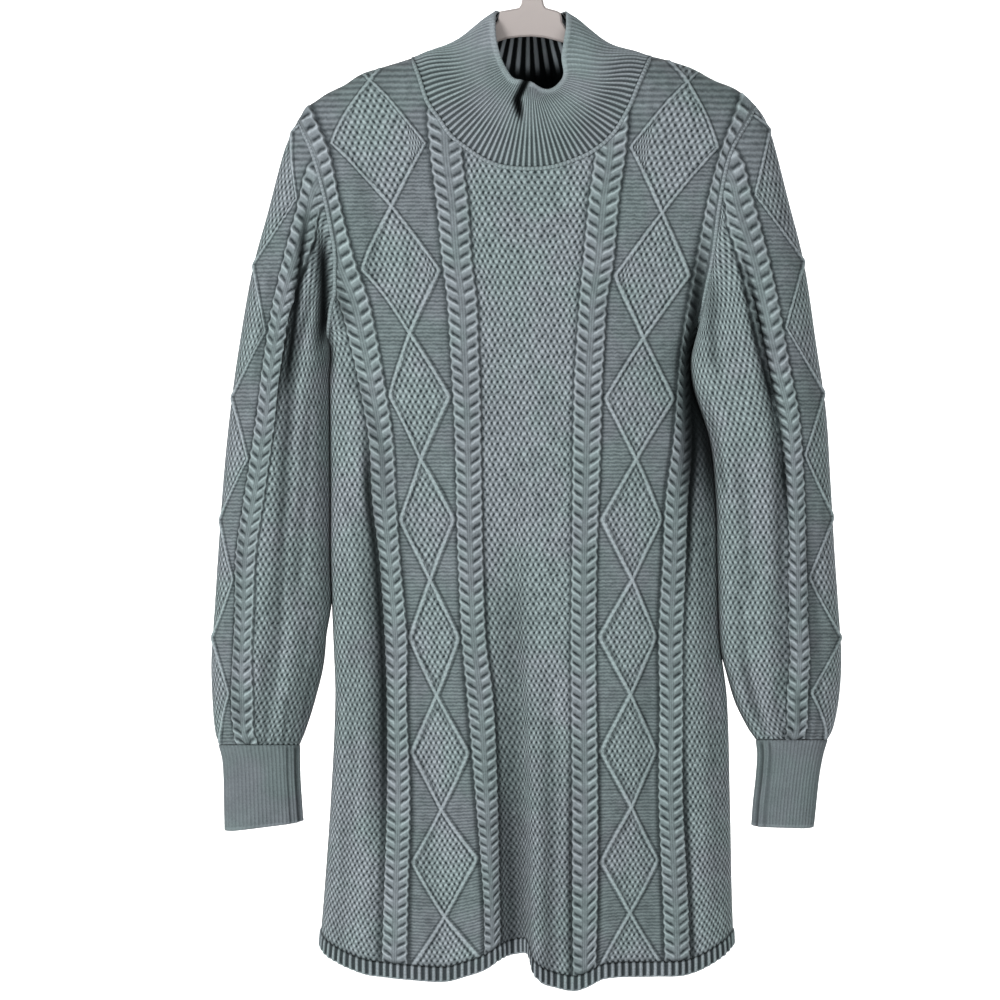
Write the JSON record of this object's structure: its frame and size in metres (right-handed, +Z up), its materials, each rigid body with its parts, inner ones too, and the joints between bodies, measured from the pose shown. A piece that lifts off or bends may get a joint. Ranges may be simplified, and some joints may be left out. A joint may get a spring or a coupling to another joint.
{
  "type": "sweater dress on hanger",
  "caption": "Cable-knit mini sweater dress with ribbed funnel neck, bishop sleeves and ribbed cuffs and hem, hanging on a moulded plastic hanger.",
  "frame": {"origin": "seat of the hanger hook, the point inside its top that rests on a rail", "axes": "+Z up, X along the hanger's arms to the viewer's right, the front of the dress faces -Y"},
  "size_m": [0.557, 0.1113, 0.9502],
  "materials": {
    "cloth": "grey sage cable knit with a washed look, dull",
    "rib": "grey sage ribbed knit, dull",
    "hanger": "satin moulded plastic, warm pinkish beige"
  },
  "bodies": {
    "root": {"front": "cloth", "back": "cloth", "sleeve_left": "cloth", "sleeve_right": "cloth", "collar": "rib", "cuff_left": "rib", "cuff_right": "rib", "hem_front": "rib", "hem_back": "rib", "hanger": "hanger"}
  },
  "joints": []
}
